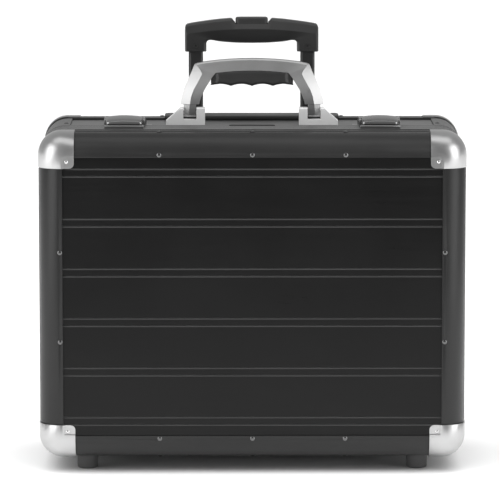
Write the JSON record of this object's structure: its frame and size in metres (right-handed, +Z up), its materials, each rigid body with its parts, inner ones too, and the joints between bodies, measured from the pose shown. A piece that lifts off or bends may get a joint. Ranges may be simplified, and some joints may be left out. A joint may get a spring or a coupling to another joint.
{
  "type": "hard shell suitcase on wheels",
  "caption": "Framed hard shell wheeled case with ribbed panels, ball corners, fold-down carry handle, draw latches and a telescopic trolley handle.",
  "frame": {"origin": "on the floor, below the middle of the suitcase's width and depth", "axes": "+Z up, +Y towards the rear with the wheels, the lid faces -Y, +X to the right seen from the front"},
  "size_m": [0.4706, 0.2364, 0.4913],
  "materials": {
    "panel_black": "satin black, lightly brushed",
    "profile_black": "black anodised",
    "side_grey": "dark grey anodised",
    "corner_metal": "satin nickel",
    "rivet_black": "semi-gloss black",
    "rivet_bright": "bright",
    "hinge_steel": "satin",
    "lining": "woven lining on board",
    "foot_rubber": "matt",
    "moulded_black": "fine grain",
    "axle_steel": "turned",
    "tyre": "matt",
    "hub_grey": "moulded",
    "latch_metal": "satin chrome",
    "slider_dark": "dark nickel",
    "handle_metal": "satin silver",
    "grip_black": "soft touch",
    "tube_black": "black anodised tube"
  },
  "bodies": {
    "case_body": {"rear_panel": "panel_black", "rear_edge_top": "profile_black", "rear_edge_bottom": "profile_black", "rear_edge_left": "profile_black", "rear_edge_right": "profile_black", "body_side_top": "side_grey", "body_side_bottom": "side_grey", "body_side_left": "side_grey", "body_side_right": "side_grey", "body_side_corners": "side_grey", "rear_corners": "corner_metal", "body_rivets": "rivet_black", "body_corner_rivets": "rivet_bright", "hinge_leaf_body": "hinge_steel", "hinge_pin": "hinge_steel", "body_lining": "lining", "latch_bases": "latch_metal", "latch_pins": "axle_steel", "handle_mount_left": "handle_metal", "handle_mount_right": "handle_metal", "handle_pins": "axle_steel", "centre_plate": "moulded_black", "trolley_bezel": "moulded_black", "trolley_outer_tubes": "tube_black", "trolley_bracket": "moulded_black", "wheel_housings": "moulded_black", "wheel_axles": "axle_steel"},
    "lid": {"front_panel": "panel_black", "front_edge_top": "profile_black", "front_edge_bottom": "profile_black", "front_edge_left": "profile_black", "front_edge_right": "profile_black", "lid_side_top": "side_grey", "lid_side_bottom": "side_grey", "lid_side_left": "side_grey", "lid_side_right": "side_grey", "lid_side_corners": "side_grey", "front_corners": "corner_metal", "lid_rivets": "rivet_black", "lid_corner_rivets": "rivet_bright", "hinge_leaf_lid": "hinge_steel", "lid_lining": "lining", "latch_keepers": "latch_metal", "feet": "foot_rubber"},
    "carry_handle": {"handle_arch": "handle_metal", "handle_grip": "grip_black"},
    "trolley_mid": {"trolley_mid_tubes": "tube_black"},
    "trolley_inner": {"trolley_inner_tubes": "tube_black", "trolley_grip": "grip_black", "trolley_grip_screws": "axle_steel"},
    "trolley_button": {"trolley_button": "grip_black"},
    "latch_lever_left": {"latch_lever_left": "latch_metal"},
    "latch_lever_right": {"latch_lever_right": "latch_metal"},
    "latch_slider_left": {"latch_slider_left": "slider_dark"},
    "latch_slider_right": {"latch_slider_right": "slider_dark"},
    "wheel_left": {"tyre_left": "tyre", "hub_left": "hub_grey"},
    "wheel_right": {"tyre_right": "tyre", "hub_right": "hub_grey"}
  },
  "joints": [
    {"name": "lid_hinge", "type": "hinge", "parent": "case_body", "child": "lid", "pos_m": [0, -0.03685, 0.0144], "axis": [1, 0, 0], "range_deg": [0, 100]},
    {"name": "carry_handle_fold", "type": "hinge", "parent": "case_body", "child": "carry_handle", "pos_m": [0, -0.01025, 0.3908], "axis": [1, 0, 0], "range_deg": [-85, 85]},
    {"name": "trolley_mid_slide", "type": "slide", "parent": "case_body", "child": "trolley_mid", "axis": [0, 0, 1], "range_m": [0, 0.28]},
    {"name": "trolley_inner_slide", "type": "slide", "parent": "trolley_mid", "child": "trolley_inner", "axis": [0, 0, 1], "range_m": [-0.067, 0.23]},
    {"name": "trolley_button_press", "type": "slide", "parent": "trolley_inner", "child": "trolley_button", "axis": [0, 0, -1], "range_m": [0, 0.004], "stiffness_N_per_m": 800, "springref_m": -0.002},
    {"name": "wheel_left_spin", "type": "hinge", "parent": "case_body", "child": "wheel_left", "pos_m": [-0.166, 0.09315, 0.025], "axis": [1, 0, 0], "continuous": true},
    {"name": "wheel_right_spin", "type": "hinge", "parent": "case_body", "child": "wheel_right", "pos_m": [0.166, 0.09315, 0.025], "axis": [1, 0, 0], "continuous": true},
    {"name": "latch_left_lift", "type": "hinge", "parent": "case_body", "child": "latch_lever_left", "pos_m": [-0.1416, -0.01335, 0.3819], "axis": [-1, 0, 0], "range_deg": [0, 100]},
    {"name": "latch_left_slide", "type": "slide", "parent": "case_body", "child": "latch_slider_left", "axis": [1, 0, 0], "range_m": [0, 0.004], "stiffness_N_per_m": 300, "springref_m": -0.002},
    {"name": "latch_right_lift", "type": "hinge", "parent": "case_body", "child": "latch_lever_right", "pos_m": [0.1416, -0.01335, 0.3819], "axis": [-1, 0, 0], "range_deg": [0, 100]},
    {"name": "latch_right_slide", "type": "slide", "parent": "case_body", "child": "latch_slider_right", "axis": [-1, 0, 0], "range_m": [0, 0.004], "stiffness_N_per_m": 300, "springref_m": -0.002}
  ]
}
